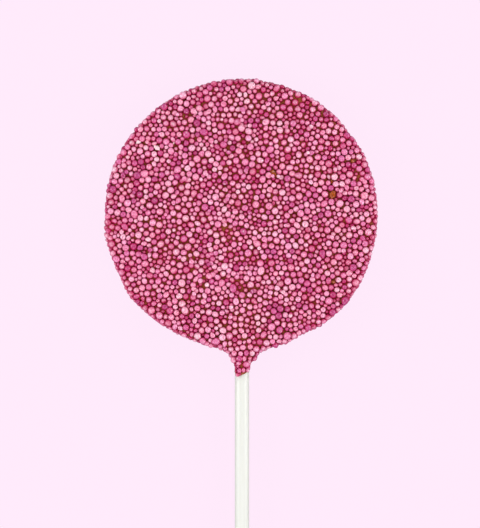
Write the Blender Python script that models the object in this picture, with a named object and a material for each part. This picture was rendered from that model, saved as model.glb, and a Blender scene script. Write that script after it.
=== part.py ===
"""Chocolate lollipop: a round slab of milk chocolate coated in nonpareils, on a white stick.

It lies on its back. The origin is the middle of the flat back, +Z goes up through the
decorated front and the stick points along -Y. Units are metres.
"""
import math

import bmesh
import bpy
from mathutils import Vector, noise

# --- driving dimensions -------------------------------------------------------------
STICK_DIAMETER = 0.0040
STICK_LENGTH = 0.150
STICK_ASIDE = 0.0002          # the stick stands this far to +X of the slab's middle
STICK_TOP_Y = 0.0             # the stick's hidden end reaches the slab's middle
STICK_EDGE = 0.0003           # width of the broken edge at both ends
SLAB_RADIUS = 0.0386          # out to the crests of the nonpareils
SLAB_THICKNESS = 0.0082
FRONT_ROUNDING = 0.0026       # radius where the front turns into the rim
BACK_ROUNDING = 0.0021        # radius where the rim turns into the flat back
FRONT_WAVE = 0.00012          # how far the poured front rises and falls
RIM_WAVE = 0.00010            # the same for the rim, between its named lobes
WAVE_SIZE = 0.0045            # distance between neighbouring crests of those waves
GAP = 0.0003                  # clearance between the stick and its socket

# --- derived ------------------------------------------------------------------------
STICK_Z = SLAB_THICKNESS / 2
SOCKET_RADIUS = STICK_DIAMETER / 2 + GAP
COLLAR_HALF_WIDTH = SOCKET_RADIUS + 0.00035
COLLAR_HALF_DEPTH = SOCKET_RADIUS + 0.0010
DEPTH_GAIN = 0.08             # how much deeper the neck gets for each metre of half width

TURN_STEPS = 96
BACK_RINGS = 3
FRONT_RINGS = 14
ROUNDING_STEPS = 5
COLLAR_SIDES = 32
STICK_SIDES = 32

# The rim isn't a true circle: angle from +X in degrees, height and half width of each lobe.
RIM_LOBES = (
    (28, 0.00022, 7),
    (36, -0.00024, 6),
    (105, -0.00014, 34),
    (160, 0.00018, 12),
    (189, 0.00030, 7),
    (207, -0.00022, 6),
    (216, 0.00055, 8),
    (247, -0.00042, 13),
    (297, -0.00060, 5),
    (319, 0.00034, 8),
    (330, 0.00028, 6),
)

# The neck of spilt chocolate, from inside the slab down to the collar on the stick:
# distance from the slab's middle, left edge and right edge from the stick's axis.
NECK_STATIONS = (
    (0.0335, -0.0086, 0.0088),
    (0.0370, -0.0068, 0.0075),
    (0.0382, -0.0053, 0.0059),
    (0.0392, -0.0041, 0.0049),
    (0.0404, -0.0034, 0.0041),
    (0.0414, -0.0029, 0.0031),
    (0.0424, -COLLAR_HALF_WIDTH, COLLAR_HALF_WIDTH + 0.00005),
    (0.0470, -COLLAR_HALF_WIDTH, COLLAR_HALF_WIDTH),
)
# The collar ends in a drip: its lowest point, and the ends of the two cuts that meet there.
DRIP_TIP = Vector((-0.0009, -0.0457, 0))
DRIP_RIGHT = Vector((0.0020, -0.0440, 0))
DRIP_LEFT = Vector((-COLLAR_HALF_WIDTH, -0.0445, 0))


def finish(name, colour, roughness):
    """A plain material of one colour."""
    material = bpy.data.materials.new(name)
    material.use_nodes = True
    shader = material.node_tree.nodes["Principled BSDF"]
    shader.inputs["Base Color"].default_value = (*colour, 1)
    shader.inputs["Roughness"].default_value = roughness
    shader.inputs["Metallic"].default_value = 0
    material.diffuse_color = (*colour, 1)
    return material


def to_object(bm, name, material=None):
    """Turn a bmesh into a smooth-shaded object of the scene."""
    bmesh.ops.recalc_face_normals(bm, faces=bm.faces)
    mesh = bpy.data.meshes.new(name)
    bm.to_mesh(mesh)
    bm.free()
    mesh.shade_smooth()
    mesh.set_sharp_from_angle(angle=math.radians(40))
    if material:
        mesh.materials.append(material)
    thing = bpy.data.objects.new(name, mesh)
    bpy.context.scene.collection.objects.link(thing)
    return thing


def as_cutter(thing):
    """Keep a helper out of renders and out of the part."""
    thing.hide_render = True
    thing.display_type = 'WIRE'


def combine(target, tool, operation):
    """Add or cut away one closed shape on another."""
    as_cutter(tool)
    step = target.modifiers.new(tool.name, 'BOOLEAN')
    step.operation = operation
    step.solver = 'EXACT'
    step.object = tool


def slab_section():
    """Half of the slab's section, from the middle of the back round to the front's middle."""
    flat_back = SLAB_RADIUS - BACK_ROUNDING
    flat_front = SLAB_RADIUS - FRONT_ROUNDING
    points = [(flat_back * step / BACK_RINGS, 0) for step in range(BACK_RINGS)]
    quarter = math.pi / 2
    for step in range(ROUNDING_STEPS + 1):
        turn = quarter * step / ROUNDING_STEPS
        points.append((
            flat_back + BACK_ROUNDING * math.sin(turn),
            BACK_ROUNDING * (1 - math.cos(turn)),
        ))
    for step in range(ROUNDING_STEPS + 1):
        turn = quarter * step / ROUNDING_STEPS
        points.append((
            flat_front + FRONT_ROUNDING * math.cos(turn),
            SLAB_THICKNESS - FRONT_ROUNDING * (1 - math.sin(turn)),
        ))
    for step in reversed(range(FRONT_RINGS)):
        points.append((flat_front * step / FRONT_RINGS, SLAB_THICKNESS))
    return points


def lobe_height(angle):
    """How far the rim stands out of its circle at an angle in degrees."""
    total = 0
    for middle, height, half_width in RIM_LOBES:
        away = (angle - middle + 180) % 360 - 180
        total += height * math.exp(-(away / half_width) ** 2)
    return total


def make_uneven(bm):
    """Push the rim out and in by its lobes, and let the front rise and fall."""
    for vert in bm.verts:
        x, y, z = vert.co
        radius = math.hypot(x, y)
        rise = z / SLAB_THICKNESS
        wave = noise.noise(vert.co / WAVE_SIZE)
        share = (radius / SLAB_RADIUS) ** 8
        push = share * (lobe_height(math.degrees(math.atan2(y, x))) + RIM_WAVE * wave * rise)
        if radius > 0:
            vert.co.x += push * x / radius
            vert.co.y += push * y / radius
        vert.co.z += FRONT_WAVE * wave * rise ** 2


def make_slab(material):
    """The coated slab: its section turned about the middle, then made uneven."""
    bm = bmesh.new()
    section = [bm.verts.new((radius, 0, z)) for radius, z in slab_section()]
    edges = [bm.edges.new(pair) for pair in zip(section, section[1:])]
    bmesh.ops.spin(
        bm, geom=section + edges, cent=(0, 0, 0), axis=(0, 0, 1),
        angle=2 * math.pi, steps=TURN_STEPS, use_merge=True,
    )
    bmesh.ops.remove_doubles(bm, verts=bm.verts, dist=0.00001)
    make_uneven(bm)
    return to_object(bm, "chocolate", material)


def place_ring(ring, station):
    """Stretch and move a unit ring of vertices to one station of the neck."""
    reach, left, right = station
    half_width = (right - left) / 2
    half_depth = COLLAR_HALF_DEPTH + DEPTH_GAIN * (half_width - COLLAR_HALF_WIDTH)
    middle = Vector((STICK_ASIDE + (left + right) / 2, -reach, STICK_Z))
    for vert, (across, up) in ring:
        vert.co = middle + Vector((half_width * across, 0, half_depth * up))


def cut_end(bm, point, other):
    """Slice off what lies below the line from one point of the drip to another."""
    along = (other - point).normalized()
    outward = Vector((along.y, -along.x, 0))
    if outward.y > 0:
        outward = -outward
    aside = Vector((STICK_ASIDE, 0, 0))
    geometry = bm.verts[:] + bm.edges[:] + bm.faces[:]
    cut = bmesh.ops.bisect_plane(
        bm, geom=geometry, plane_co=point + aside, plane_no=outward, clear_outer=True,
    )
    rim = [item for item in cut["geom_cut"] if isinstance(item, bmesh.types.BMEdge)]
    bmesh.ops.holes_fill(bm, edges=rim)


def make_neck():
    """The spilt chocolate between the slab and the stick, ending in a slanted drip."""
    bm = bmesh.new()
    unit = [
        (math.cos(2 * math.pi * side / COLLAR_SIDES), math.sin(2 * math.pi * side / COLLAR_SIDES))
        for side in range(COLLAR_SIDES)
    ]
    first = bmesh.ops.create_circle(bm, cap_ends=False, radius=1, segments=COLLAR_SIDES)
    ring = list(zip(first["verts"], unit))
    place_ring(ring, NECK_STATIONS[0])
    edges = bm.edges[:]
    bmesh.ops.contextual_create(bm, geom=edges)
    for station in NECK_STATIONS[1:]:
        grown = bmesh.ops.extrude_edge_only(bm, edges=edges)["geom"]
        edges = [item for item in grown if isinstance(item, bmesh.types.BMEdge)]
        verts = [item for item in grown if isinstance(item, bmesh.types.BMVert)]
        ring = list(zip(verts, unit))
        place_ring(ring, station)
    bmesh.ops.contextual_create(bm, geom=edges)
    cut_end(bm, DRIP_TIP, DRIP_RIGHT)
    cut_end(bm, DRIP_TIP, DRIP_LEFT)
    return to_object(bm, "neck_form")


def make_rod(name, radius, low_y, high_y, edge, material=None):
    """A straight round rod along Y, with broken edges where it has any."""
    bm = bmesh.new()
    bmesh.ops.create_cone(
        bm, cap_ends=True, segments=STICK_SIDES, radius1=radius, radius2=radius,
        depth=high_y - low_y,
    )
    if edge:
        ends = [item for item in bm.edges if abs(item.verts[0].co.z - item.verts[1].co.z) < radius / 10]
        bmesh.ops.bevel(
            bm, geom=ends, offset=edge, segments=2, profile=0.5, affect='EDGES', material=-1,
        )
    rod = to_object(bm, name, material)
    rod.location = (STICK_ASIDE, (low_y + high_y) / 2, STICK_Z)
    rod.rotation_euler = (math.radians(-90), 0, 0)
    return rod


def main():
    for thing in list(bpy.data.objects):
        bpy.data.objects.remove(thing)
    milk_chocolate = finish("milk_chocolate", (0.13, 0.045, 0.02), 0.45)
    white_plastic = finish("white_plastic", (0.87, 0.88, 0.85), 0.35)

    stick_low = STICK_TOP_Y - STICK_LENGTH
    slab = make_slab(milk_chocolate)
    neck = make_neck()
    socket = make_rod("socket", SOCKET_RADIUS, stick_low, STICK_TOP_Y + GAP, 0)
    combine(slab, neck, 'UNION')
    combine(slab, socket, 'DIFFERENCE')
    make_rod("stick", STICK_DIAMETER / 2, stick_low, STICK_TOP_Y, STICK_EDGE, white_plastic)


main()
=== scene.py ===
"""The looks of a chocolate lollipop that lies on its back.

A slab of milk chocolate, set round a white stick, has been rolled in pink nonpareils. The
slab is one piece with its spilt neck, and the nonpareils are joined into one piece for each
colour. All places come from the frame. Units are metres, and MM turns millimetres to metres.
"""

import math

import bmesh
import bpy
import numpy as np
from mathutils import Matrix, Vector, noise
from mathutils.bvhtree import BVHTree
from mathutils.kdtree import KDTree


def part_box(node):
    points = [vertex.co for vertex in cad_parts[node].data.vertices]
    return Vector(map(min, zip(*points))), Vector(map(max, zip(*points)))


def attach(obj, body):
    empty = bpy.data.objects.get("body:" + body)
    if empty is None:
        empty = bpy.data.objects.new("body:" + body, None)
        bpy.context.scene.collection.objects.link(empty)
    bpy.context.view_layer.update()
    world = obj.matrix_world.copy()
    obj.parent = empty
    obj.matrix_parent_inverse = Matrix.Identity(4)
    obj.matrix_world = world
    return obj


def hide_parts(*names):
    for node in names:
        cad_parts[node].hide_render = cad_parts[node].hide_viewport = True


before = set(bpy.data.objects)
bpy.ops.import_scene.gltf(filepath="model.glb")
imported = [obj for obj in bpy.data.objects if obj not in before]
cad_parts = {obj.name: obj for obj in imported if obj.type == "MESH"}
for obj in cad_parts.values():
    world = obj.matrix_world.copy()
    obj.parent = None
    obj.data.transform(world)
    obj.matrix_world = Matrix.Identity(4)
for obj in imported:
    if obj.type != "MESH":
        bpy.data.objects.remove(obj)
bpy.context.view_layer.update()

MM = 0.001
SLAB_LOW, SLAB_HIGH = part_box("chocolate")
STICK_LOW, STICK_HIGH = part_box("stick")
STICK_RADIUS = (STICK_HIGH.x - STICK_LOW.x) / 2
STICK_X = (STICK_HIGH.x + STICK_LOW.x) / 2
STICK_Z = (STICK_HIGH.z + STICK_LOW.z) / 2

# --- the chocolate under the nonpareils ----------------------------------------------
COAT = 1.15 * MM              # how far the nonpareils stand out of the chocolate's rim
CORE_LOW = SLAB_LOW.z + 1.05 * MM
CORE_HIGH = SLAB_HIGH.z - 1.15 * MM
FRONT_ROUNDING = 0.9 * MM
BACK_ROUNDING = 1.0 * MM
RIM_BAND = (0.24, 0.70)       # the slab's rim is read between these shares of its height
NECK_SHADOW = 9.5 * MM        # and further to each side than this, where the neck isn't
RIM_NARROWEST = 0.95          # and beyond this share of the slab's radius
RIM_PULL = 6                  # how steeply the rim's unevenness dies out inwards
VOXEL = 0.42 * MM             # the size of the steps in which slab and neck are fused
FUSE_SMOOTHING = 3            # rounds of smoothing that take those steps away
SMOOTHING_SHARE = 0.5         # how far a round moves each corner towards its neighbours
POURED_WAVE = 0.10 * MM       # how far the poured front rises and falls
WAVE_SIZE = 5.0 * MM          # size of its waves
RIPPLE_SIZE = 1.3 * MM        # size of the ripples on them
RIPPLE_SHARE = 0.4            # their height, as a share of the waves'
MERGE = 0.01 * MM             # corners closer than this are one
TINY = 1e-9                   # keeps a distance of nothing from being divided by
TURN_STEPS = 180
RINGS = 6                     # rings of faces across the front, and across the back
ROUNDING_STEPS = 6
# The spilt neck, coated: distance below the slab's middle, left and right edge from the
# stick's axis, and the chocolate's half depth.
NECK_STATIONS = (
    (33.0, -8.2, 8.4, 2.75),
    (37.6, -6.9, 7.4, 2.7),
    (38.3, -5.2, 6.2, 2.65),
    (38.7, -4.2, 5.3, 2.65),
    (39.5, -3.6, 4.5, 2.6),
    (40.8, -3.4, 4.2, 2.6),
    (41.4, -2.9, 2.9, 2.55),
    (42.1, -2.1, 2.4, 2.5),
    (46.5, -2.0, 2.2, 2.5),
)
NECK_COAT = 0.8 * MM          # how far the nonpareils stand out of the neck's sides
NECK_SHORT = 0.35 * MM        # how far the nonpareils stand out below its slanted edges
THIN_SKIN = 0.12 * MM         # the least chocolate beside the stick
NECK_SIDES = 32
NECK_RISE = 0.12 * MM         # the spilt chocolate lies thicker on the stick's front
# The neck ends in a drip: its tip, and where the two cuts to it start, across and down.
DRIP_TIP = (-0.95, 45.5)
DRIP_RIGHT = (2.1, 43.9)
DRIP_LEFT = (-2.0, 44.5)

# --- the nonpareils --------------------------------------------------------------------
MEAN_RADIUS = 0.74 * MM
RADIUS_SPREAD = 0.150 * MM
SMALLEST, LARGEST = 0.50 * MM, 1.05 * MM
SPACING = 1.185 * MM          # how close together they are first strewn
RIM_SPACING = 1.06 * MM       # the same on the rim, where the coat is wider than the core
SPOTS = 60000                 # places that are tried for it
SEAT = 0.36                   # a nonpareil's middle above the chocolate, in its own radii
SEAT_SPREAD = 0.22
LOWEST_SEAT, HIGHEST_SEAT = 0.0, 0.75
SPREAD_ROUNDS = 30            # rounds of pushing apart while they are thought larger
SPREAD_SWELL = 1.2
PACK_ROUNDS = 36              # rounds at their real size
PAIRS_HOLD = 6                # rounds for which a list of neighbours is good
ELBOW_ROOM = 1.02             # the room each one takes, in its own radii
PUSH = 0.8                    # share of an overlap that one round takes away
NEIGHBOURS = 4                # how many are looked at for the room beside them
PAIR_REACH = 2.1              # how far apart, in the largest radius, two can be neighbours
RIM_TRIM = 0.08 * MM          # the lumps on them stand out this far
SIDE_SLACK, TOP_SLACK = 0.22 * MM, 0.55 * MM   # how far short of the rim they may stay
TWINS = 26                    # pairs that grew together in the pan
TWIN_GAP = 0.68               # distance of their middles, in the sum of their radii
GAP_TRIES = 90000             # places where a gap is looked for
NARROWEST_GAP = 0.42 * MM     # gaps with less room than this stay open
WIDEST_FILLER = 0.62 * MM
FILLER_RANGE = (0.85, 1.1)    # the fillers' radii, as shares of the room
PERCHED = 60                  # the few that sit on top of others on the front
PERCHED_TRIES = 12            # places that are tried for each of them
PERCHED_REACH = 33.5 * MM     # how far from the slab's middle they sit
PERCHED_NEAR = 2.4            # how far off, in the largest radius, others can hold them up
BITE = 0.98                   # how close a perched one sits to its neighbours, in radii
TOUCH_RING = 0.7              # a ball is let down by its foot and a ring of this radius on it
TOUCH_POINTS = [(0, 0)] + [
    (TOUCH_RING * math.cos(math.radians(turn)), TOUCH_RING * math.sin(math.radians(turn)))
    for turn in range(0, 360, 45)
]
NECK_TOP = 36.6 * MM          # distance below the slab's middle where the neck starts
NECK_LEFT, NECK_RIGHT = -6.6 * MM, 8.3 * MM
NECK_FLANK = 1.9 * MM         # its front starts this far above the stick's axis
NECK_LEAN = 0.35              # how far down each one, in radii, the neck's edge is taken
OVERHANG = 0.06 * MM          # those that stand further past the outline are left out
SUNK = -0.75                  # lower in the chocolate than this, in their radii, none show
PAINTED_SHADE_STRENGTH = 0.99                  # how strongly painted shade darkens and deepens them low down, where they sit in the chocolate
PAINTED_SHADE_LOW, PAINTED_SHADE_HIGH = 0.3, 1.2  # where the painted shade fades out, in mean radii or a larger one's own
PAINTED_SHADE_CURVE = 1.8             # it fades slowly at first
GAP_PAINTED_SHADE_REACH = 0.18 * MM       # how far painted shade, darker and pinker, reaches into the chocolate round them
PATCH = 5.0 * MM              # size of the patches where darker or paler ones have gathered
GATHERING = 0.16              # how strongly they have
SEAT_DRIFT = 0.15             # how much deeper and shallower they sit from patch to patch
SEED = 44

# How the pan leaves balls of radius 1 out of round.
BALL_RADIUS = 1.03            # of the faceted ball, so that it fills as much as a round one
BALL_SPLITS = 2               # 80 faces
LUMPS = 1.6                   # how close its lumps are
LUMP_SHIFT = 6.3              # the lumps start anywhere in a full turn
LUMP_HEIGHT = 0.035
STRETCH = 0.035               # how far it is stretched each way
OVALS = 0.16                  # share of them that are oval, and how long and how narrow
OVAL_LENGTH = (1.12, 1.32)
OVAL_WIDTH = 0.94
POINTED = 0.08                # share of them that run to a point, its height and its taper
POINT_HEIGHT = 0.45
POINT_TAPER = 0.25
FLATTENED = 0.14              # share of them that are flat on one side, and how far out
FLAT_AT = (0.55, 0.85)

# Colours: name, darkest and palest shade, and share of the nonpareils.
KINDS = (
    ("pale_pink", "#f8c7e2", "#fbdce8", 0.090),
    ("candy_pink", "#f8b4db", "#fbc7dc", 0.335),
    ("rose", "#f29dcb", "#fab5ce", 0.320),
    ("deep_rose", "#e183ba", "#f29dc3", 0.140),
    ("raspberry", "#cb5a9b", "#de74ad", 0.080),
    ("plum", "#b64182", "#c85896", 0.035),
)
PALE, CANDY, ROSE, DEEP, RASPBERRY, PLUM = range(6)

# The nonpareils on the neck and drip, one by one: across from the slab's middle, up from it,
# width, length, kind.
NECK_NONPAREILS = (
    (-5.85, -36.70, 1.50, 1.40, ROSE),
    (-4.50, -37.35, 1.40, 1.25, DEEP),
    (-2.85, -37.50, 1.70, 1.55, PALE),
    (-1.05, -37.40, 1.45, 1.55, CANDY),
    (0.45, -37.05, 1.85, 1.70, CANDY),
    (2.50, -36.85, 1.65, 1.70, ROSE),
    (4.15, -37.40, 1.80, 1.80, CANDY),
    (6.15, -37.20, 1.35, 1.60, CANDY),
    (7.60, -36.95, 1.40, 1.05, CANDY),
    (-3.65, -38.50, 1.00, 1.10, DEEP),
    (-3.15, -39.40, 0.95, 1.40, CANDY),
    (-1.90, -38.70, 1.75, 1.90, ROSE),
    (-0.15, -38.85, 1.50, 1.55, CANDY),
    (1.40, -38.65, 1.45, 1.90, RASPBERRY),
    (2.95, -38.60, 1.75, 2.00, PALE),
    (4.30, -38.95, 1.10, 1.50, RASPBERRY),
    (-2.05, -40.60, 1.95, 2.00, CANDY),
    (-0.50, -40.25, 1.90, 1.80, RASPBERRY),
    (0.85, -40.25, 1.25, 1.65, ROSE),
    (2.30, -40.15, 1.35, 1.10, ROSE),
    (2.15, -41.00, 1.15, 1.20, CANDY),
    (3.65, -40.30, 1.45, 1.50, DEEP),
    (3.00, -40.85, 0.75, 0.80, ROSE),
    (-0.65, -41.55, 1.55, 1.15, CANDY),
    (1.30, -41.85, 1.95, 1.75, ROSE),
    (-0.85, -42.45, 0.85, 1.05, CANDY),
    # This plum one and the next, at the neck's left edge, are dark balls standing in for painted
    # shade there.
    (-1.40, -42.80, 0.75, 1.20, PLUM),
    (-1.45, -43.80, 0.60, 1.00, PLUM),
    (-0.50, -43.60, 1.35, 1.55, DEEP),
    (0.60, -43.45, 1.15, 1.45, ROSE),
    (1.70, -43.50, 1.20, 1.35, CANDY),
    (-1.05, -44.80, 1.30, 1.20, ROSE),
    (-0.35, -44.65, 0.60, 0.75, RASPBERRY),
)

# Amber crumbs of boiled sugar caught in the coat: across from the slab's middle, up from it,
# width, length, turn in degrees.
CRUMBS = (
    (8.75, 11.95, 1.3, 1.1, 20),
    (9.2, 11.3, 1.3, 1.0, -25),
    (9.75, 10.85, 0.8, 0.55, -30),
    (25.5, 5.6, 1.55, 2.5, -14),
    (25.3, 9.2, 0.6, 0.9, 10),
    (31.1, 15.0, 0.75, 1.0, 0),
    (25.8, -18.85, 1.2, 0.7, -20),
    (-1.95, -38.8, 0.8, 0.5, 5),
)
# Chips of the nonpareils' own sugar cores, which are pinkish white: the same values.
CHIPS = (
    (-23.6, 18.7, 1.75, 1.1, -30),
    (-28.7, 20.25, 1.25, 0.85, 10),
    (-18.9, 20.0, 0.45, 0.9, -40),
)
CRUMB_SEED, CHIP_SEED = 3, 8
BIT_RADIUS = 0.5 * MM         # of the ball that each crumb and chip is broken from
BIT_BREAK = 0.7               # how deep the breaks in it are, in that radius
BIT_GRAIN = 0.4 * MM          # how wide they are
BIT_HEIGHT = 0.7              # its height, as a share of its shorter side
BIT_FOOT = 0.25               # how wide it stands, as a share of its width
BIT_LIFT = 0.35 * MM          # its middle above where it would touch
BIT_EDGE = math.radians(35)   # edges sharper than this stay sharp

# --- the stick ---------------------------------------------------------------------------
STICK_SIDES = 72
STICK_BEVEL = 0.35 * MM       # the rounding of its ends
BEVEL_STEPS = 4
SINK_INSET = 0.55 * MM        # the sink mark's distance from that rounding
SINK_DEPTH = 0.12 * MM
STICK_EDGE = math.radians(50)  # edges sharper than this stay sharp


# --- materials ---------------------------------------------------------------------------
def colour(code):
    """An sRGB hex code as the linear colour that shaders take."""
    channels = [int(code[at:at + 2], 16) / 255 for at in (1, 3, 5)]
    return (*(c / 12.92 if c <= 0.04045 else ((c + 0.055) / 1.055) ** 2.4 for c in channels), 1)


def add_node(tree, kind, sockets=None, **settings):
    """Add a node with its own settings, and give its inputs values or links."""
    node = tree.nodes.new(kind)
    for name, value in settings.items():
        setattr(node, name, value)
    for key, value in (sockets or {}).items():
        if isinstance(value, bpy.types.NodeSocket):
            tree.links.new(value, node.inputs[key])
        else:
            node.inputs[key].default_value = value
    return node


def new_material(name):
    """An empty node material, with the tree and its Principled shader."""
    material = bpy.data.materials.new(name)
    material.use_nodes = True
    return material, material.node_tree, material.node_tree.nodes["Principled BSDF"]


def mixed(tree, share, first, second, way='MIX'):
    """A colour between two others, or one laid over the other, by a share from 0 to 1."""
    return add_node(
        tree, "ShaderNodeMix", {0: share, 6: first, 7: second}, data_type='RGBA', blend_type=way,
    ).outputs[2]


def ranged(tree, value, low, high, most, least=0.0):
    """A value stretched so that low becomes least, and high becomes most."""
    return add_node(
        tree, "ShaderNodeMapRange",
        {"Value": value, "From Min": low, "From Max": high, "To Min": least, "To Max": most},
    ).outputs[0]


def noise_of(tree, place, size, detail=2.0):
    """Cloudy noise whose patches are about as wide as size."""
    return add_node(
        tree, "ShaderNodeTexNoise",
        {"Vector": place, "Scale": 1 / size, "Detail": detail, "Roughness": 0.6},
    ).outputs["Fac"]


def roughen(tree, shader, height, strength, depth):
    """Let a pattern raise and lower the surface that the light sees."""
    bump = add_node(
        tree, "ShaderNodeBump", {"Height": height, "Strength": strength, "Distance": depth},
    )
    tree.links.new(bump.outputs["Normal"], shader.inputs["Normal"])


def pan_coated_sugar(name, dark, pale):
    """Sugar balls coated in a turning pan: satin, with a thin, mottled and worn skin.

    Low on each ball, where it sits in the chocolate between its neighbours, it is painted darker
    and deeper pink: painted shade.
    """
    material, tree, shader = new_material(f"pan_coated_sugar_{name}")
    place = add_node(tree, "ShaderNodeTexCoord").outputs["Object"]
    tone = add_node(tree, "ShaderNodeAttribute", attribute_name="tone").outputs["Fac"]
    low_painted_shade = add_node(tree, "ShaderNodeAttribute", attribute_name="low_painted_shade").outputs["Fac"]
    skin = mixed(tree, tone, colour(dark), colour(pale))
    thick = ranged(tree, noise_of(tree, place, 0.33 * MM), 0.38, 0.68, 1.0)
    mottled = mixed(tree, thick, skin, colour("#ec8cac"), 'MULTIPLY')
    worn = ranged(tree, noise_of(tree, place, 0.9 * MM), 0.6, 0.75, 0.4)
    skin = mixed(tree, worn, mottled, colour("#ffe2ea"))
    # Painted shade: low on each ball, near the chocolate, the skin goes darker and deeper pink.
    painted_shade_skin = mixed(tree, low_painted_shade, skin, colour("#bc0e58"), 'DARKEN')
    tree.links.new(painted_shade_skin, shader.inputs["Base Color"])
    roughen(tree, shader, noise_of(tree, place, 0.38 * MM, 1.0), 0.35, 0.06 * MM)
    shader.inputs["Roughness"].default_value = 0.24
    shader.inputs["Specular IOR Level"].default_value = 0.6
    shader.inputs["IOR"].default_value = 1.45
    return material


def milk_chocolate():
    """Set milk chocolate: brown and satin, with streaks, and painted shade, darker and pinker,
    close to the sugar balls.
    """
    material, tree, shader = new_material("milk_chocolate")
    place = add_node(tree, "ShaderNodeTexCoord").outputs["Object"]
    streaks = noise_of(tree, place, 2.5 * MM, 4.0)
    gap_painted_shade = add_node(tree, "ShaderNodeAttribute", attribute_name="gap_painted_shade").outputs["Fac"]
    brown = mixed(tree, streaks, colour("#844121"), colour("#b86c40"))
    tree.links.new(
        # Painted shade: the chocolate goes darker and pinker in the narrow gaps next to the sugar
        # balls.
        mixed(tree, gap_painted_shade, brown, colour("#d84ca8"), 'MULTIPLY'), shader.inputs["Base Color"],
    )
    roughen(tree, shader, streaks, 0.3, 0.1 * MM)
    shader.inputs["Roughness"].default_value = 0.45
    shader.inputs["IOR"].default_value = 1.46
    shader.inputs["Specular IOR Level"].default_value = 0.2
    return material


def moulded_polypropylene():
    """Moulded white polypropylene: satin and a little milky, with faint lines along its flow."""
    material, tree, shader = new_material("moulded_polypropylene")
    place = add_node(tree, "ShaderNodeTexCoord").outputs["Object"]
    drawn = add_node(tree, "ShaderNodeMapping", {"Vector": place, "Scale": (1.0, 0.02, 1.0)})
    lines = noise_of(tree, drawn.outputs["Vector"], 0.45 * MM)
    tree.links.new(
        mixed(tree, lines, colour("#e3e4de"), colour("#ebece6")), shader.inputs["Base Color"],
    )
    roughen(tree, shader, lines, 0.2, 0.05 * MM)
    shader.inputs["Roughness"].default_value = 0.35
    shader.inputs["IOR"].default_value = 1.49
    shader.inputs["Subsurface Weight"].default_value = 0.3
    shader.inputs["Subsurface Scale"].default_value = 0.8 * MM
    shader.inputs["Subsurface Radius"].default_value = (1.0, 1.0, 0.9)
    return material


def boiled_sugar():
    """Crumbs of boiled sugar: amber and glossy, darker where they are thick."""
    material, tree, shader = new_material("boiled_sugar")
    place = add_node(tree, "ShaderNodeTexCoord").outputs["Object"]
    depth = ranged(tree, noise_of(tree, place, 0.45 * MM), 0.32, 0.68, 1.0)
    tree.links.new(
        mixed(tree, depth, colour("#6c2004"), colour("#c2601f")), shader.inputs["Base Color"],
    )
    roughen(tree, shader, depth, 0.4, 0.08 * MM)
    shader.inputs["Roughness"].default_value = 0.2
    shader.inputs["IOR"].default_value = 1.5
    return material


def bare_sugar():
    """Broken sugar: pinkish white and grainy."""
    material, tree, shader = new_material("bare_sugar")
    place = add_node(tree, "ShaderNodeTexCoord").outputs["Object"]
    grain = noise_of(tree, place, 0.2 * MM)
    tree.links.new(
        mixed(tree, grain, colour("#f2c4d0"), colour("#ffdce2")), shader.inputs["Base Color"],
    )
    roughen(tree, shader, grain, 0.5, 0.08 * MM)
    shader.inputs["Roughness"].default_value = 0.55
    shader.inputs["IOR"].default_value = 1.5
    return material


# --- pieces --------------------------------------------------------------------------------
def mesh_from(bm, name):
    """A mesh from a bmesh, with its faces outward."""
    bmesh.ops.recalc_face_normals(bm, faces=bm.faces)
    mesh = bpy.data.meshes.new(name)
    bm.to_mesh(mesh)
    bm.free()
    return mesh


def piece_of(mesh, name, material):
    """Make a finished mesh a smooth piece that rides on the root body."""
    mesh.shade_smooth()
    mesh.materials.append(material)
    piece = bpy.data.objects.new(name, mesh)
    bpy.context.scene.collection.objects.link(piece)
    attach(piece, "root")
    return piece


# --- the chocolate core --------------------------------------------------------------------
def rim_outline():
    """The coated slab's radius by angle in degrees, read from the frame's own rim."""
    places = np.array([vert.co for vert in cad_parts["chocolate"].data.vertices])
    radius = np.hypot(places[:, 0], places[:, 1])
    low, high = RIM_BAND
    level = (places[:, 2] > low * SLAB_HIGH.z) & (places[:, 2] < high * SLAB_HIGH.z)
    beside_neck = (np.abs(places[:, 0]) > NECK_SHADOW) | (places[:, 1] > 0)
    kept = level & beside_neck & (radius > RIM_NARROWEST * SLAB_HIGH.x)
    angles = np.degrees(np.arctan2(places[kept, 1], places[kept, 0])) % 360
    order = np.argsort(angles)
    return angles[order], radius[kept][order]


RIM_ANGLES, RIM_RADII = rim_outline()


def rim_at(x, y):
    """The coated slab's radius in the direction of a place."""
    angle = np.degrees(np.arctan2(y, x)) % 360
    return np.interp(angle, RIM_ANGLES, RIM_RADII, period=360)


def slab_section(reach):
    """Half of the core's section, from the middle of the back round to the front's middle."""
    flat_back = reach - BACK_ROUNDING
    flat_front = reach - FRONT_ROUNDING
    quarter = math.pi / 2
    turns = [quarter * step / ROUNDING_STEPS for step in range(ROUNDING_STEPS + 1)]
    points = [(flat_back * ring / RINGS, CORE_LOW) for ring in range(RINGS)]
    for turn in turns:
        points.append((
            flat_back + BACK_ROUNDING * math.sin(turn),
            CORE_LOW + BACK_ROUNDING * (1 - math.cos(turn)),
        ))
    for turn in turns:
        points.append((
            flat_front + FRONT_ROUNDING * math.cos(turn),
            CORE_HIGH - FRONT_ROUNDING * (1 - math.sin(turn)),
        ))
    points += [(flat_front * ring / RINGS, CORE_HIGH) for ring in reversed(range(RINGS))]
    return points


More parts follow.
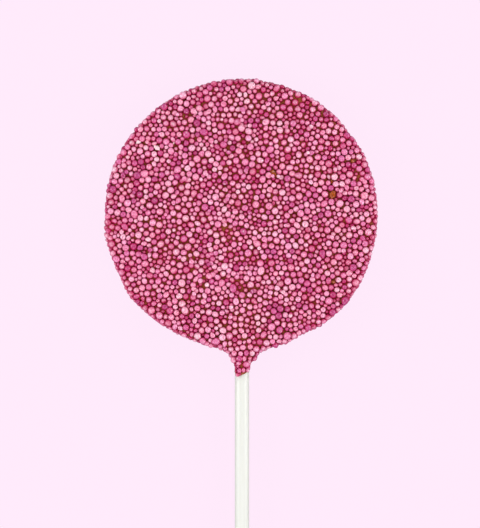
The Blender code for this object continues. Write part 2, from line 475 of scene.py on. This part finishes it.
def add_slab(bm):
    """The slab, turned about its middle, with the frame's uneven rim less the coat."""
    reach = float(np.mean(RIM_RADII)) - COAT
    section = [bm.verts.new((radius, 0, z)) for radius, z in slab_section(reach)]
    edges = [bm.edges.new(pair) for pair in zip(section, section[1:])]
    bmesh.ops.spin(
        bm, geom=section + edges, cent=(0, 0, 0), axis=(0, 0, 1),
        angle=2 * math.pi, steps=TURN_STEPS, use_merge=True,
    )
    bmesh.ops.remove_doubles(bm, verts=bm.verts, dist=MERGE)
    for vert in bm.verts:
        radius = math.hypot(vert.co.x, vert.co.y)
        rim = float(rim_at(vert.co.x, vert.co.y)) - COAT
        stretch = 1 + (rim / reach - 1) * (radius / reach) ** RIM_PULL
        vert.co.x *= stretch
        vert.co.y *= stretch


def place_ring(verts, station):
    """Stretch and move a ring of vertices to one station of the neck, under its coat."""
    down, left, right, depth = (value * MM for value in station)
    left = min(left + NECK_COAT, -STICK_RADIUS - THIN_SKIN)
    right = max(right - NECK_COAT, STICK_RADIUS + THIN_SKIN)
    for side, vert in enumerate(verts):
        turn = 2 * math.pi * side / NECK_SIDES
        vert.co = (
            STICK_X + (left + right) / 2 + (right - left) / 2 * math.cos(turn),
            NECK_SHORT - down,
            STICK_Z + NECK_RISE + depth * math.sin(turn),
        )


def make_neck():
    """The spilt chocolate from inside the slab down to its slanted drip on the stick."""
    bm = bmesh.new()
    ring = bmesh.ops.create_circle(bm, segments=NECK_SIDES, radius=1)["verts"]
    place_ring(ring, NECK_STATIONS[0])
    edges = bm.edges[:]
    bmesh.ops.contextual_create(bm, geom=edges)
    for station in NECK_STATIONS[1:]:
        grown = bmesh.ops.extrude_edge_only(bm, edges=edges)["geom"]
        edges = [item for item in grown if isinstance(item, bmesh.types.BMEdge)]
        ring = [item for item in grown if isinstance(item, bmesh.types.BMVert)]
        place_ring(ring, station)
    for vert in ring:
        vert.co.y = drip_end(vert.co.x)
    bmesh.ops.contextual_create(bm, geom=edges)
    for side in range(1, NECK_SIDES // 2):
        bmesh.ops.connect_verts(bm, verts=[ring[side], ring[-side]])
    return mesh_from(bm, "neck")


def drip_cuts():
    """The two slanted cuts that meet in the drip's tip: a point of each, and the way out."""
    tip = Vector((STICK_X + DRIP_TIP[0] * MM, -DRIP_TIP[1] * MM, 0))
    cuts = []
    for start in (DRIP_RIGHT, DRIP_LEFT):
        side = Vector((STICK_X + start[0] * MM, -start[1] * MM, 0))
        along = (side - tip).normalized()
        outward = Vector((along.y, -along.x, 0))
        if outward.y > 0:
            outward.negate()
        cuts.append((tip, outward))
    return cuts


def drip_end(x):
    """Where along Y the neck ends at a place across it: at the first of the two cuts."""
    return max(tip.y - (x - tip.x) * outward.x / outward.y for tip, outward in drip_cuts())


def fused(mesh):
    """Slab and neck fused into one closed skin, by the Remesh modifier."""
    thing = bpy.data.objects.new("unfused", mesh)
    bpy.context.scene.collection.objects.link(thing)
    remesh = thing.modifiers.new("fuse", 'REMESH')
    remesh.mode = 'VOXEL'
    remesh.voxel_size = VOXEL
    bpy.context.view_layer.update()
    seen = thing.evaluated_get(bpy.context.evaluated_depsgraph_get())
    result = bmesh.new()
    result.from_mesh(seen.to_mesh())
    seen.to_mesh_clear()
    bpy.data.objects.remove(thing)
    return result


def pour_unevenly(bm):
    """Let the set chocolate's front rise and fall."""
    for vert in bm.verts:
        wave = noise.noise(vert.co / WAVE_SIZE)
        ripple = RIPPLE_SHARE * noise.noise(vert.co / RIPPLE_SIZE)
        vert.co += vert.normal * POURED_WAVE * (wave + ripple)


def make_slab():
    """The chocolate: slab, neck and drip in one piece. Gives its mesh, a tree to find its
    surface, and the area and corners of its faces."""
    slab = bmesh.new()
    add_slab(slab)
    slab.from_mesh(make_neck())
    core = fused(mesh_from(slab, "slab"))
    for _ in range(FUSE_SMOOTHING):
        bmesh.ops.smooth_vert(
            core, verts=core.verts, factor=SMOOTHING_SHARE,
            use_axis_x=True, use_axis_y=True, use_axis_z=True,
        )
    core.normal_update()
    pour_unevenly(core)
    core.normal_update()
    surface = BVHTree.FromBMesh(core)
    areas = np.array([face.calc_area() for face in core.faces])
    corners = np.array([[vert.co for vert in face.verts] for face in core.faces])
    piece = piece_of(
        mesh_from(core, "chocolate_slab"), "chocolate_slab", milk_chocolate(),
    )
    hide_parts("chocolate")
    return piece.data, surface, (areas, corners)


# --- packing the nonpareils -----------------------------------------------------------------
def set_down(surface, x, y, radius):
    """How high the middle of a ball lies that is let down on the front, before it sinks in."""
    height = STICK_Z
    for across, along in TOUCH_POINTS:
        hit, _, _, _ = surface.ray_cast(
            Vector((x + across * radius, y + along * radius, 1)), Vector((0, 0, -1)),
        )
        if hit:
            height = max(height, hit.z + radius * math.sqrt(1 - across ** 2 - along ** 2))
    return height


def set_by_hand(surface):
    """Rows of x, y, z and radius: the neck's nonpareils, then the crumbs, then the chips."""
    rows = []
    for across, up, width, length, _ in NECK_NONPAREILS + CRUMBS + CHIPS:
        radius = (width + length) / 4 * MM
        x, y = across * MM, up * MM
        rows.append((x, y, set_down(surface, x, y, radius) - (1 - SEAT) * radius, radius))
    return np.array(rows)


def random_sizes(draw, count):
    """Radii of sieved nonpareils, most of them near the mean."""
    return np.clip(draw.normal(MEAN_RADIUS, RADIUS_SPREAD, count), SMALLEST, LARGEST)


def drift(places):
    """A number between -1 and 1 for each place that changes slowly over the slab."""
    return np.array([noise.noise(Vector(place) / PATCH) for place in places])


def random_places(draw, faces, count):
    """Points spread evenly by area over the chocolate's four-sided faces."""
    areas, corners = faces
    chosen = corners[draw.choice(len(areas), count, p=areas / areas.sum())]
    across, along = draw.random((2, count, 1))
    low = chosen[:, 0] * (1 - across) + chosen[:, 1] * across
    high = chosen[:, 3] * (1 - across) + chosen[:, 2] * across
    return low * (1 - along) + high * along


def strewn_places(draw, faces):
    """Places all over the chocolate, with none closer than the spacing to another."""
    spots = random_places(draw, faces, SPOTS)
    on_rim = np.hypot(spots[:, 0], spots[:, 1]) > RIM_RADII.min() - COAT - FRONT_ROUNDING
    spacing = np.where(on_rim, RIM_SPACING, SPACING)
    tree = tree_of(spots)
    free = np.ones(SPOTS, bool)
    kept = []
    for index, spot in enumerate(spots):
        if free[index]:
            kept.append(index)
            free[[other for _, other, _ in tree.find_range(spot, spacing[index])]] = False
    return spots[kept]


def tree_of(places):
    """A tree that finds the places near another."""
    tree = KDTree(len(places))
    for index, place in enumerate(places):
        tree.insert(place, index)
    tree.balance()
    return tree


def near_pairs(places, reach):
    """Pairs of nonpareils whose middles are within reach."""
    tree = tree_of(places)
    pairs = [
        (index, other)
        for index, place in enumerate(places)
        for _, other, _ in tree.find_range(place, reach)
        if other > index
    ]
    return np.array(pairs).T


def room_at(spots, places, radii):
    """Distance from each spot to the nearest nonpareil."""
    tree = tree_of(places)
    return np.array([
        min(distance - radii[other] for _, other, distance in tree.find_n(spot, NEIGHBOURS))
        for spot in spots
    ])


def push_apart(places, radii, held, pairs):
    """Move overlapping neighbours apart, each by half of their overlap."""
    first, second = pairs
    between = places[second] - places[first]
    distance = np.linalg.norm(between, axis=1)
    overlap = np.maximum(radii[first] + radii[second] - distance, 0)
    shift = between / np.maximum(distance, TINY)[:, None] * (0.5 * overlap)[:, None]
    moves = np.zeros_like(places)
    np.add.at(moves, first, -shift)
    np.add.at(moves, second, shift)
    moves[held] = 0
    places += PUSH * moves


def hold_twins(places, radii, twins):
    """Keep the second of each pair of twins where it has grown to the first."""
    first, second = twins
    between = places[second] - places[first]
    distance = np.maximum(np.linalg.norm(between, axis=1), TINY)
    wanted = TWIN_GAP * (radii[first] + radii[second])
    places[second] = places[first] + between * (wanted / distance)[:, None]


def nearest_chocolate(surface, places):
    """The point of the chocolate nearest to each place, and the way it faces there."""
    feet = np.empty_like(places)
    slopes = np.empty_like(places)
    for index, place in enumerate(places):
        foot, slope, _, _ = surface.find_nearest(Vector(place))
        feet[index] = foot
        slopes[index] = slope
    return feet, slopes


def settle(surface, places, radii, seats, slack, held):
    """Set the loose nonpareils down on the chocolate."""
    feet, slopes = nearest_chocolate(surface, places)
    loose = ~held
    places[loose] = (feet + slopes * (seats * radii)[:, None])[loose]
    press_level(places, radii, slopes, slack, loose)


def neck_edges(y):
    """The coated neck's left and right edge at places' distances below the slab's middle."""
    down, left, right, _ = np.array(NECK_STATIONS).T * MM
    return [STICK_X + np.interp(-y, down, edge) for edge in (left, right)]


def past_outline(places, radii):
    """How far nonpareils stand past the coated outline, at the rim and beside the neck, and
    where the neck's side would let their middles be."""
    x, y = places[:, 0], places[:, 1]
    past_rim = np.hypot(x, y) - (rim_at(x, y) - radii)
    left, right = neck_edges(y - NECK_LEAN * radii)
    inside = np.clip(x, left + radii, right - radii)
    past_neck = np.where(y < -NECK_STATIONS[0][0] * MM, np.abs(x - inside), np.inf)
    return past_rim, past_neck, inside


def press_level(places, radii, slopes, slack, loose):
    """Keep the nonpareils above the table, and inside the coated outline of slab and neck."""
    places[:, 2] = np.maximum(places[:, 2], SLAB_LOW.z + radii)
    most = SIDE_SLACK + (TOP_SLACK - SIDE_SLACK) * np.abs(slopes[:, 2])
    past_rim, past_neck, inside = past_outline(places, radii)
    past_rim += RIM_TRIM + slack * most
    over_rim = loose & (past_rim > 0) & (past_rim < past_neck)
    beside_neck = loose & (past_rim > 0) & (past_rim >= past_neck)
    reach = np.maximum(np.hypot(places[:, 0], places[:, 1]), TINY)
    places[over_rim, :2] *= (1 - past_rim / reach)[over_rim, None]
    places[beside_neck, 0] = inside[beside_neck]


def past_drip(places, radii):
    """How far nonpareils on the neck stand past the drip's slanted end."""
    past = [(places - tip) @ outward + radii for tip, outward in drip_cuts()]
    return np.where(places[:, 1] < -NECK_TOP, np.max(past, axis=0), 0)


def on_neck(places):
    """Which nonpareils are on the front of the neck, where others are set one by one."""
    beside = (places[:, 0] < NECK_LEFT) | (places[:, 0] > NECK_RIGHT)
    in_front = places[:, 2] > STICK_Z + NECK_FLANK
    return (-places[:, 1] > NECK_TOP) & ~beside & in_front


def pack_layer(draw, surface, faces):
    """Roll the slab in nonpareils: one crowded layer all over, seated in the chocolate."""
    by_hand = set_by_hand(surface)
    places = draw.permutation(strewn_places(draw, faces))
    radii = random_sizes(draw, len(places))
    clear = ~on_neck(places)
    places = np.concatenate([by_hand[:, :3], places[clear]])
    radii = np.concatenate([by_hand[:, 3], radii[clear]])
    count = len(places)
    held = np.arange(count) < len(by_hand)
    usual = SEAT + SEAT_DRIFT * drift(places)
    seats = np.clip(draw.normal(usual, SEAT_SPREAD), LOWEST_SEAT, HIGHEST_SEAT)
    slack = draw.random(count)
    twins = len(by_hand) + np.arange(2 * TWINS).reshape(2, TWINS)
    places[twins[1]] = places[twins[0]] + draw.normal(0, MEAN_RADIUS, (TWINS, 3))
    for step in range(SPREAD_ROUNDS + PACK_ROUNDS):
        swell = SPREAD_SWELL if step < SPREAD_ROUNDS else 1
        if step % PAIRS_HOLD == 0:
            pairs = near_pairs(places, PAIR_REACH * LARGEST * swell)
        push_apart(places, radii * ELBOW_ROOM * swell, held, pairs)
        hold_twins(places, radii, twins)
        settle(surface, places, radii, seats, slack, held)
    return places, radii, held, twins


def fill_gaps(draw, faces, places, radii):
    """Little nonpareils for the widest gaps between the others."""
    spots = random_places(draw, faces, GAP_TRIES)
    room = room_at(spots, places, radii)
    new_places = np.empty((0, 3))
    new_radii = np.empty(0)
    for index in np.argsort(-room):
        if room[index] < NARROWEST_GAP:
            break
        radius = min(room[index], WIDEST_FILLER)
        distances = np.linalg.norm(new_places - spots[index], axis=1)
        if np.all(distances > new_radii + radius):
            new_places = np.append(new_places, [spots[index]], axis=0)
            new_radii = np.append(new_radii, radius * draw.uniform(*FILLER_RANGE))
    return new_places, new_radii


def perch(draw, places, radii):
    """Nonpareils on top of others, in the deepest hollows of the front."""
    tries = PERCHED * PERCHED_TRIES
    turn = draw.uniform(0, 2 * math.pi, tries)
    reach = PERCHED_REACH * np.sqrt(draw.random(tries))
    sizes = random_sizes(draw, tries)
    tree = tree_of(places)
    found = []
    for x, y, size in zip(reach * np.cos(turn), reach * np.sin(turn), sizes):
        lift = CORE_HIGH
        for place, other, _ in tree.find_range((x, y, CORE_HIGH), PERCHED_NEAR * LARGEST):
            wanted = BITE * (size + radii[other])
            aside = math.hypot(place.x - x, place.y - y)
            if aside < wanted:
                lift = max(lift, place.z + math.sqrt(wanted ** 2 - aside ** 2))
        found.append((lift, x, y, size))
    found = np.array(sorted(found)[:PERCHED])
    return found[:, [1, 2, 0]], found[:, 3]


# --- making the nonpareils --------------------------------------------------------------------
def make_ball():
    """The form all nonpareils start from: a ball of radius 1 with 80 faces."""
    bm = bmesh.new()
    bmesh.ops.create_icosphere(bm, subdivisions=BALL_SPLITS, radius=BALL_RADIUS)
    corners = np.array([vert.co for vert in bm.verts])
    faces = np.array([[vert.index for vert in face.verts] for face in bm.faces])
    bm.free()
    return corners, faces


def random_turns(draw, count):
    """Random rotations, from the rows of orthogonal matrices."""
    turns, _ = np.linalg.qr(draw.normal(size=(count, 3, 3)))
    turns[:, 0] *= np.sign(np.linalg.det(turns))[:, None]
    return turns


def misshape(draw, ball, count):
    """Copies of the ball, each a little out of round, some oval, pointed or flattened."""
    forms = np.repeat(ball[None], count, axis=0)
    lump = np.einsum("nvi,ni->nv", forms, draw.normal(0, LUMPS, (count, 3)))
    lump += draw.uniform(0, LUMP_SHIFT, (count, 1))
    forms *= (1 + LUMP_HEIGHT * np.sin(lump))[..., None]
    stretch = np.exp(draw.normal(0, STRETCH, (count, 3)))
    oval = draw.random(count) < OVALS
    stretch[oval, 0] *= draw.uniform(*OVAL_LENGTH, oval.sum())
    stretch[oval, 1:] *= OVAL_WIDTH
    forms *= stretch[:, None]
    pointed = draw.random(count) < POINTED
    height = np.clip(forms[pointed, :, 2], 0, None)
    forms[pointed, :, 2] += POINT_HEIGHT * height ** 3
    forms[pointed, :, :2] *= (1 - POINT_TAPER * height ** 2)[..., None]
    flat = draw.random(count) < FLATTENED
    level = draw.uniform(*FLAT_AT, (flat.sum(), 1))
    forms[flat, :, 1] = np.minimum(forms[flat, :, 1], level)
    return np.einsum("nvi,nij->nvj", forms, random_turns(draw, count))


def joined_copies(name, corners, faces, tones, painted_shade_shares):
    """One mesh of many balls, each with its own tone, and with painted shade low on it, near the
    chocolate.
    """
    count, size = corners.shape[:2]
    steps = np.arange(count)[:, None, None] * size
    mesh = bpy.data.meshes.new(name)
    mesh.from_pydata(
        corners.reshape(-1, 3).tolist(), [], (faces[None] + steps).reshape(-1, 3).tolist(),
    )
    for label, values in (("tone", np.repeat(tones, size)), ("low_painted_shade", painted_shade_shares.ravel())):
        layer = mesh.attributes.new(label, 'FLOAT', 'POINT')
        layer.data.foreach_set("value", values.astype(np.float32))
    return mesh


def random_kinds(draw, places):
    """Colours of nonpareils, by each colour's share, with more dark ones in some patches."""
    shares = np.cumsum([share for *_, share in KINDS])
    rank = draw.random(len(places)) * shares[-1] + GATHERING * drift(places)
    return np.clip(np.searchsorted(shares, rank), 0, len(KINDS) - 1)


def all_nonpareils(draw, surface, faces):
    """Place, radius, colour and tone of every one, and which are held where they were set."""
    places, radii, held, twins = pack_layer(draw, surface, faces)
    kinds = random_kinds(draw, places)
    kinds[:len(NECK_NONPAREILS)] = [kind for *_, kind in NECK_NONPAREILS]
    kinds[twins[1]] = kinds[twins[0]]
    tones = draw.random(len(places))
    tones[twins[1]] = tones[twins[0]]
    fillers = fill_gaps(draw, faces, places, radii)
    perched = perch(draw, places, radii)
    for more_places, more_radii in (fillers, perched):
        places = np.append(places, more_places, axis=0)
        radii = np.append(radii, more_radii)
        kinds = np.append(kinds, random_kinds(draw, more_places))
        tones = np.append(tones, draw.random(len(more_places)))
        held = np.append(held, np.zeros(len(more_places), bool))
    return places, radii, kinds, tones, held


def shaped(draw, ball, places, radii):
    """The corners of every nonpareil at its place, with none below the table."""
    forms = misshape(draw, ball, len(places)) * radii[:, None, None]
    for index, (_, _, width, length, _) in enumerate(NECK_NONPAREILS):
        forms[index] = ball * (width / 2 * MM, length / 2 * MM, radii[index])
    corners = forms + places[:, None]
    too_low = np.minimum(corners[:, :, 2].min(axis=1) - SLAB_LOW.z, 0)
    corners[:, :, 2] -= too_low[:, None]
    return corners


def out_of_place(places, radii, feet, slopes):
    """Which random ones are sunk, past the outline, or where others are set one by one."""
    past_rim, past_neck, _ = past_outline(places, radii)
    past = np.maximum(np.minimum(past_rim, past_neck), past_drip(places, radii))
    sunk = np.einsum("ni,ni->n", places - feet, slopes) < SUNK * radii
    return sunk | (past > OVERHANG) | on_neck(places)


def painted_shade_on(corners, radii, feet, slopes):
    """How much painted shade each corner gets, by its height above the chocolate."""
    above = np.einsum("nvi,ni->nv", corners - feet[:, None], slopes)
    above /= np.maximum(radii, MEAN_RADIUS)[:, None]
    fade = np.clip((above - PAINTED_SHADE_LOW) / (PAINTED_SHADE_HIGH - PAINTED_SHADE_LOW), 0, 1)
    return PAINTED_SHADE_STRENGTH * (1 - fade ** PAINTED_SHADE_CURVE)


def make_nonpareils(surface, faces):
    """All the nonpareils, as one piece for each colour. Gives their places and radii."""
    draw = np.random.default_rng(SEED)
    places, radii, kinds, tones, held = all_nonpareils(draw, surface, faces)
    ball, ball_faces = make_ball()
    corners = shaped(draw, ball, places, radii)
    feet, slopes = nearest_chocolate(surface, places)
    painted_shade_shares = painted_shade_on(corners, radii, feet, slopes)
    # The crumbs and chips kept their room among those set one by one, but are made elsewhere.
    on_list = np.arange(len(places)) < len(NECK_NONPAREILS)
    shown = np.where(held, on_list, ~out_of_place(places, radii, feet, slopes))
    for kind, (name, dark, pale, _) in enumerate(KINDS):
        chosen = (kinds == kind) & shown
        piece_name = f"nonpareils_{name}"
        mesh = joined_copies(
            piece_name, corners[chosen], ball_faces, tones[chosen], painted_shade_shares[chosen],
        )
        piece_of(mesh, piece_name, pan_coated_sugar(name, dark, pale))
    return places[shown], radii[shown]


def paint_gap_shade(mesh, places, radii):
    """Mark how much painted shade, darker and pinker, the chocolate gets next to the nonpareils.
    """
    room = room_at([vert.co for vert in mesh.vertices], places, radii)
    layer = mesh.attributes.new("gap_painted_shade", 'FLOAT', 'POINT')
    layer.data.foreach_set("value", (1 - np.clip(room / GAP_PAINTED_SHADE_REACH, 0, 1)).astype(np.float32))


def make_bits(name, rows, material, surface, seed):
    """Crumbs or chips: small broken lumps, set down one by one on the front."""
    bm = bmesh.new()
    for number, (across, up, width, length, turn) in enumerate(rows):
        lump = bmesh.ops.create_icosphere(bm, subdivisions=BALL_SPLITS, radius=BIT_RADIUS)["verts"]
        for vert in lump:
            place = vert.co / BIT_GRAIN + Vector((seed, number, 0))
            vert.co *= 1 + BIT_BREAK * noise.noise(place)
        size = Vector((width, length, BIT_HEIGHT * min(width, length)))
        bmesh.ops.scale(bm, verts=lump, vec=size)
        x, y = across * MM, up * MM
        height = set_down(surface, x, y, BIT_FOOT * width * MM) + BIT_LIFT
        matrix = Matrix.Translation((x, y, height))
        matrix @= Matrix.Rotation(math.radians(turn), 4, 'Z')
        bmesh.ops.transform(bm, verts=lump, matrix=matrix)
    piece = piece_of(mesh_from(bm, name), name, material)
    piece.data.set_sharp_from_angle(angle=BIT_EDGE)


# --- making the stick -----------------------------------------------------------------------
def many_sided(bm):
    """The faces that close a rod's ends, which have more sides than those round it."""
    return [face for face in bm.faces if len(face.verts) > 4]


def make_stick():
    """The moulded stick: round, with softened ends, each with a sink mark."""
    bm = bmesh.new()
    length = STICK_HIGH.y - STICK_LOW.y
    bmesh.ops.create_cone(
        bm, cap_ends=True, segments=STICK_SIDES, radius1=STICK_RADIUS, radius2=STICK_RADIUS,
        depth=length,
    )
    ends = [edge for cap in many_sided(bm) for edge in cap.edges]
    bmesh.ops.bevel(
        bm, geom=ends, offset=STICK_BEVEL, segments=BEVEL_STEPS, profile=0.5,
        affect='EDGES', material=-1,
    )
    for cap in many_sided(bm):
        bmesh.ops.inset_individual(bm, faces=[cap], thickness=SINK_INSET, depth=-SINK_DEPTH)
        bmesh.ops.poke(bm, faces=[cap])
    middle = Vector((STICK_X, (STICK_LOW.y + STICK_HIGH.y) / 2, STICK_Z))
    matrix = Matrix.Translation(middle) @ Matrix.Rotation(math.radians(-90), 4, 'X')
    bmesh.ops.transform(bm, verts=bm.verts, matrix=matrix)
    piece = piece_of(
        mesh_from(bm, "lollipop_stick"), "lollipop_stick", moulded_polypropylene(),
    )
    piece.data.set_sharp_from_angle(angle=STICK_EDGE)
    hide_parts("stick")


# --- the studio --------------------------------------------------------------------------------
VIEW_MIDDLE = Vector((-0.36 * MM, -13.78 * MM, 0))
VIEW_HEIGHT = 148.7 * MM      # what the picture's height spans at the stick's level
SENSOR = 36.0
LENS = 100.0
LIGHT_AIM = Vector((0, -0.02, 0))
# Softboxes: name, place, size, power in watts.
SOFTBOXES = (
    ("left_softbox", (-0.55, -0.02, 0.26), 0.3, 1.47),
    ("right_softbox", (0.55, -0.02, 0.26), 0.3, 1.47),
    ("near_softbox", (0.0, -0.42, 0.50), 0.3, 0.81),
    ("far_softbox", (0.0, 0.38, 0.50), 0.3, 0.38),
)
# The backdrop: a round floor whose edge sweeps up.
FLOOR_REACH = 2.0
SWEEP = 1.5
SWEEP_STEPS = 16
SWEEP_SIDES = 64
# The light tent: its light, the light from below, and the wide opening at its top, from the
# height where its edge starts to darken to the height where it is dark. Heights are those of
# directions, from 0 at the horizon to 1 overhead.
TENT = 1.68
FROM_BELOW = 0.12
WALL = (0.1, 0.45)            # heights between which the tent's wall goes over to full light
OPENING = (math.cos(math.radians(55)), math.cos(math.radians(38)))
PAPER_LIGHT = 0.97            # how brightly the backdrop paper shines


def add_camera():
    """Straight above the lollipop, with the stick running out of the picture."""
    data = bpy.data.cameras.new("camera")
    data.sensor_width = SENSOR
    data.lens = LENS
    distance = VIEW_HEIGHT * LENS / SENSOR
    camera = bpy.data.objects.new("camera", data)
    camera.location = VIEW_MIDDLE + Vector((0, 0, STICK_Z + distance))
    bpy.context.scene.collection.objects.link(camera)
    bpy.context.scene.camera = camera


def add_softbox(name, place, size, power):
    """A square soft light that faces the slab."""
    data = bpy.data.lights.new(name, 'AREA')
    data.size = size
    data.energy = power
    light = bpy.data.objects.new(name, data)
    light.location = place
    light.rotation_euler = (LIGHT_AIM - light.location).to_track_quat('-Z', 'Y').to_euler()
    bpy.context.scene.collection.objects.link(light)


def pale_paper():
    """Pale pink backdrop paper, lit evenly enough to lose its shadows."""
    material, _, shader = new_material("pale_pink_paper")
    shader.inputs["Base Color"].default_value = colour("#302c2f")
    shader.inputs["Roughness"].default_value = 0.9
    shader.inputs["Specular IOR Level"].default_value = 0
    shader.inputs["Emission Color"].default_value = colour("#ffeafb")
    shader.inputs["Emission Strength"].default_value = PAPER_LIGHT
    return material


def add_backdrop():
    """The paper: a round floor whose edge sweeps up, seen by the camera alone."""
    bm = bmesh.new()
    arc = [math.pi / 2 * step / SWEEP_STEPS for step in range(SWEEP_STEPS + 1)]
    section = [(0, 0)] + [
        (FLOOR_REACH + SWEEP * math.sin(turn), SWEEP * (1 - math.cos(turn))) for turn in arc
    ]
    verts = [bm.verts.new((radius, 0, z)) for radius, z in section]
    edges = [bm.edges.new(pair) for pair in zip(verts, verts[1:])]
    bmesh.ops.spin(
        bm, geom=verts + edges, cent=(0, 0, 0), axis=(0, 0, 1),
        angle=2 * math.pi, steps=SWEEP_SIDES, use_merge=True,
    )
    bmesh.ops.remove_doubles(bm, verts=bm.verts, dist=MM)
    mesh = mesh_from(bm, "floor")
    mesh.shade_smooth()
    mesh.materials.append(pale_paper())
    floor = bpy.data.objects.new("floor", mesh)
    bpy.context.scene.collection.objects.link(floor)
    floor.visible_diffuse = False
    floor.visible_glossy = False
    floor.visible_shadow = False


def add_tent():
    """The white light tent round the lollipop, open above the camera."""
    world = bpy.data.worlds.new("surroundings")
    world.use_nodes = True
    tree = world.node_tree
    way = add_node(tree, "ShaderNodeTexCoord").outputs["Generated"]
    height = add_node(tree, "ShaderNodeSeparateXYZ", {0: way}).outputs["Z"]
    wall = ranged(tree, height, *WALL, TENT, FROM_BELOW)
    opening = ranged(tree, height, *OPENING, TENT)
    glow = add_node(tree, "ShaderNodeMath", {0: wall, 1: opening}, operation='SUBTRACT').outputs[0]
    tree.nodes["Background"].inputs["Color"].default_value = (1, 1, 1, 1)
    tree.links.new(glow, tree.nodes["Background"].inputs["Strength"])
    bpy.context.scene.world = world
    bpy.context.scene.view_settings.view_transform = 'Standard'


add_camera()
slab_mesh, slab_surface, slab_faces = make_slab()
paint_gap_shade(slab_mesh, *make_nonpareils(slab_surface, slab_faces))
make_bits("amber_crumbs", CRUMBS, boiled_sugar(), slab_surface, CRUMB_SEED)
make_bits("sugar_chips", CHIPS, bare_sugar(), slab_surface, CHIP_SEED)
make_stick()
add_backdrop()
for softbox in SOFTBOXES:
    add_softbox(*softbox)
add_tent()
